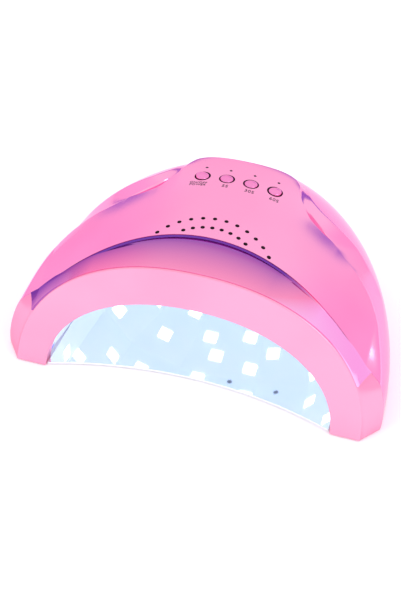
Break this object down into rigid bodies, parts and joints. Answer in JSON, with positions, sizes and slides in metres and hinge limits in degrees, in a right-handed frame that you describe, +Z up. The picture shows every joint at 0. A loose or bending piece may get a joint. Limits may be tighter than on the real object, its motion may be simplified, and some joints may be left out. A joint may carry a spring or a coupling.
{
  "type": "uv led nail lamp",
  "caption": "Domed nail-curing lamp with an arched hand opening, faceted LED reflector, sliding mirror base tray and press buttons on top.",
  "frame": {"origin": "middle of the footprint, on the table under the rubber feet", "axes": "+Z up, +X to the user's right, the hand opening faces -Y"},
  "size_m": [0.2294, 0.1879, 0.101],
  "materials": {
    "shell_pink": "electroplated metallic pink gloss",
    "frame_pink": "satin metallic pink",
    "groove_pink": "mirror-polished electroplated rose",
    "reflector_white": "satin reflective white lit by the lamps",
    "led_lens": "frosted glowing lens",
    "sensor_dark": "tinted sensor eye",
    "board_green": "circuit board",
    "rim_pink": "moulded satin pink",
    "magnet_metal": "nickel plated",
    "screw_steel": "zinc plated steel",
    "foot_rubber": "soft pale rubber",
    "tray_mirror": "mirror-polished steel sheet",
    "button_pink": "electroplated metallic pink gloss",
    "component_dark": "moulded black",
    "light_pipe": "smoked clear light pipe",
    "label_white": "blank silver-white label"
  },
  "bodies": {
    "housing": {"top_shell": "shell_pink", "front_frame": "frame_pink", "groove_trim": "groove_pink", "reflector": "reflector_white", "leds_front_left": "led_lens", "leds_front_right": "led_lens", "leds_crown": "led_lens", "leds_rear_left": "led_lens", "leds_rear_right": "led_lens", "leds_rear_crown": "led_lens", "sensor_left": "sensor_dark", "sensor_right": "sensor_dark", "led_board_left": "board_green", "led_board_right": "board_green", "led_board_crown": "board_green", "control_pcb": "board_green", "driver_board": "board_green", "chassis_rim": "rim_pink", "magnet_left": "magnet_metal", "magnet_right": "magnet_metal", "shell_screws": "screw_steel", "board_screws": "screw_steel", "jack_pin": "screw_steel", "foot_front_left": "foot_rubber", "foot_front_right": "foot_rubber", "foot_rear_left": "foot_rubber", "foot_rear_right": "foot_rubber", "tact_switches": "component_dark", "driver_parts": "component_dark", "buzzer": "component_dark", "dc_jack": "component_dark", "power_lead": "component_dark", "indicator_power": "light_pipe", "indicator_5s": "light_pipe", "indicator_30s": "light_pipe", "indicator_60s": "light_pipe", "rating_label": "label_white"},
    "tray": {"base_tray": "tray_mirror", "tray_pads": "foot_rubber"},
    "button_power": {"button_power": "button_pink"},
    "button_5s": {"button_5s": "button_pink"},
    "button_30s": {"button_30s": "button_pink"},
    "button_60s": {"button_60s": "button_pink"}
  },
  "joints": [
    {"name": "tray_slide", "type": "slide", "parent": "housing", "child": "tray", "axis": [0, -1, 0], "range_m": [0, 0.15]},
    {"name": "button_power_press", "type": "slide", "parent": "housing", "child": "button_power", "axis": [0, 0, -1], "range_m": [0, 0.0008], "stiffness_N_per_m": 800},
    {"name": "button_5s_press", "type": "slide", "parent": "housing", "child": "button_5s", "axis": [0, 0, -1], "range_m": [0, 0.0008], "stiffness_N_per_m": 800},
    {"name": "button_30s_press", "type": "slide", "parent": "housing", "child": "button_30s", "axis": [0, 0, -1], "range_m": [0, 0.0008], "stiffness_N_per_m": 800},
    {"name": "button_60s_press", "type": "slide", "parent": "housing", "child": "button_60s", "axis": [0, 0, -1], "range_m": [0, 0.0008], "stiffness_N_per_m": 800}
  ]
}
